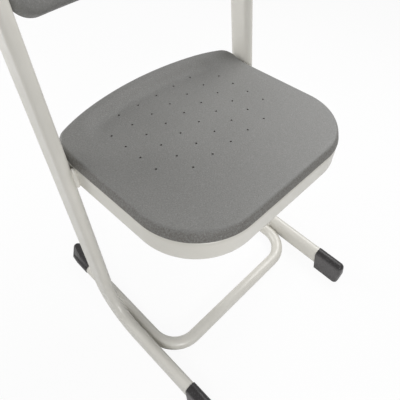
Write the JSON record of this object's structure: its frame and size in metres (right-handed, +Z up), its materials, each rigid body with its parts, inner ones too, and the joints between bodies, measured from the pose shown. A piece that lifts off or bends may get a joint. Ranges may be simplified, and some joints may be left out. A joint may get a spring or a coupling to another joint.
{
  "type": "stacking chair",
  "caption": "Stacking side chair on a welded tube sled frame, with a dished, vented plastic seat carried by a bent tube ring and a plastic backrest between the uprights.",
  "frame": {"origin": "on the floor, under the middle of the whole chair", "axes": "+Z up, -Y is where the sitter faces; node names give left and right as seen from in front, so left is -X"},
  "size_m": [0.462, 0.492, 0.8071],
  "materials": {
    "frame_paint": "satin",
    "seat_plastic": "matte",
    "cap_plastic": "matte",
    "screw_steel": "satin"
  },
  "bodies": {
    "root": {"side_tube_left": "frame_paint", "side_tube_right": "frame_paint", "base_tube": "frame_paint", "seat_ring": "frame_paint", "seat_cross_tube": "frame_paint", "ring_welds": "frame_paint", "base_welds": "frame_paint", "seat_lugs": "frame_paint", "back_bracket_left": "frame_paint", "back_bracket_right": "frame_paint", "seat_top_shell": "seat_plastic", "seat_bottom_shell": "seat_plastic", "back_front_shell": "seat_plastic", "back_rear_shell": "seat_plastic", "front_cap_left": "cap_plastic", "front_cap_right": "cap_plastic", "rear_cap_left": "cap_plastic", "rear_cap_right": "cap_plastic", "top_plug_left": "cap_plastic", "top_plug_right": "cap_plastic", "ring_end_plugs": "cap_plastic", "seat_screws": "screw_steel", "back_screws": "screw_steel"}
  },
  "joints": []
}
